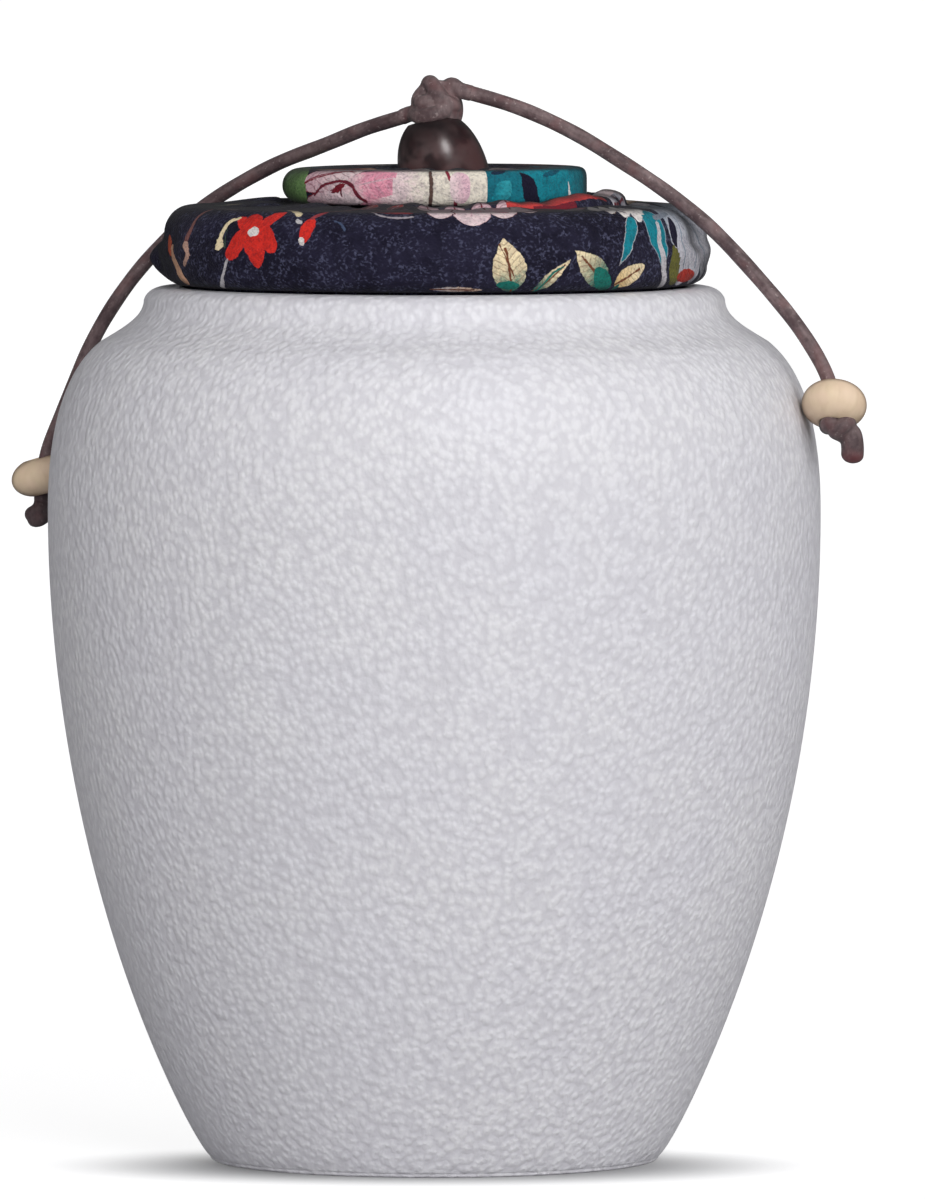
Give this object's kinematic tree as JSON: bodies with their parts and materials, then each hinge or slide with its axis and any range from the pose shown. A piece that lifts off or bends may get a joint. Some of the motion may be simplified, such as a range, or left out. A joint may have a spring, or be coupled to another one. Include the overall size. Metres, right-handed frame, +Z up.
{
  "type": "funeral urn",
  "caption": "Small rounded ceramic urn with a narrow foot, and a padded cloth-covered lid that carries a knob bead and a knotted cord with beaded ends.",
  "frame": {"origin": "on the jar's axis, where the foot ring meets the surface that the urn stands on", "axes": "+Z up along the jar's axis, +X to the right as seen from the front, -Y towards the front"},
  "size_m": [0.1109, 0.1002, 0.1404],
  "materials": {
    "glaze": "matte",
    "cloth": "matte",
    "dark_wood": "gloss",
    "pale_wood": "satin",
    "cord": "satin"
  },
  "bodies": {
    "root": {"jar": "glaze", "lid_pad": "cloth", "lid_button": "cloth", "knob_bead": "dark_wood", "top_knot": "cord", "cord_right": "cord", "cord_left": "cord", "bead_right": "pale_wood", "bead_left": "pale_wood", "end_knot_right": "cord", "end_knot_left": "cord"}
  },
  "joints": []
}
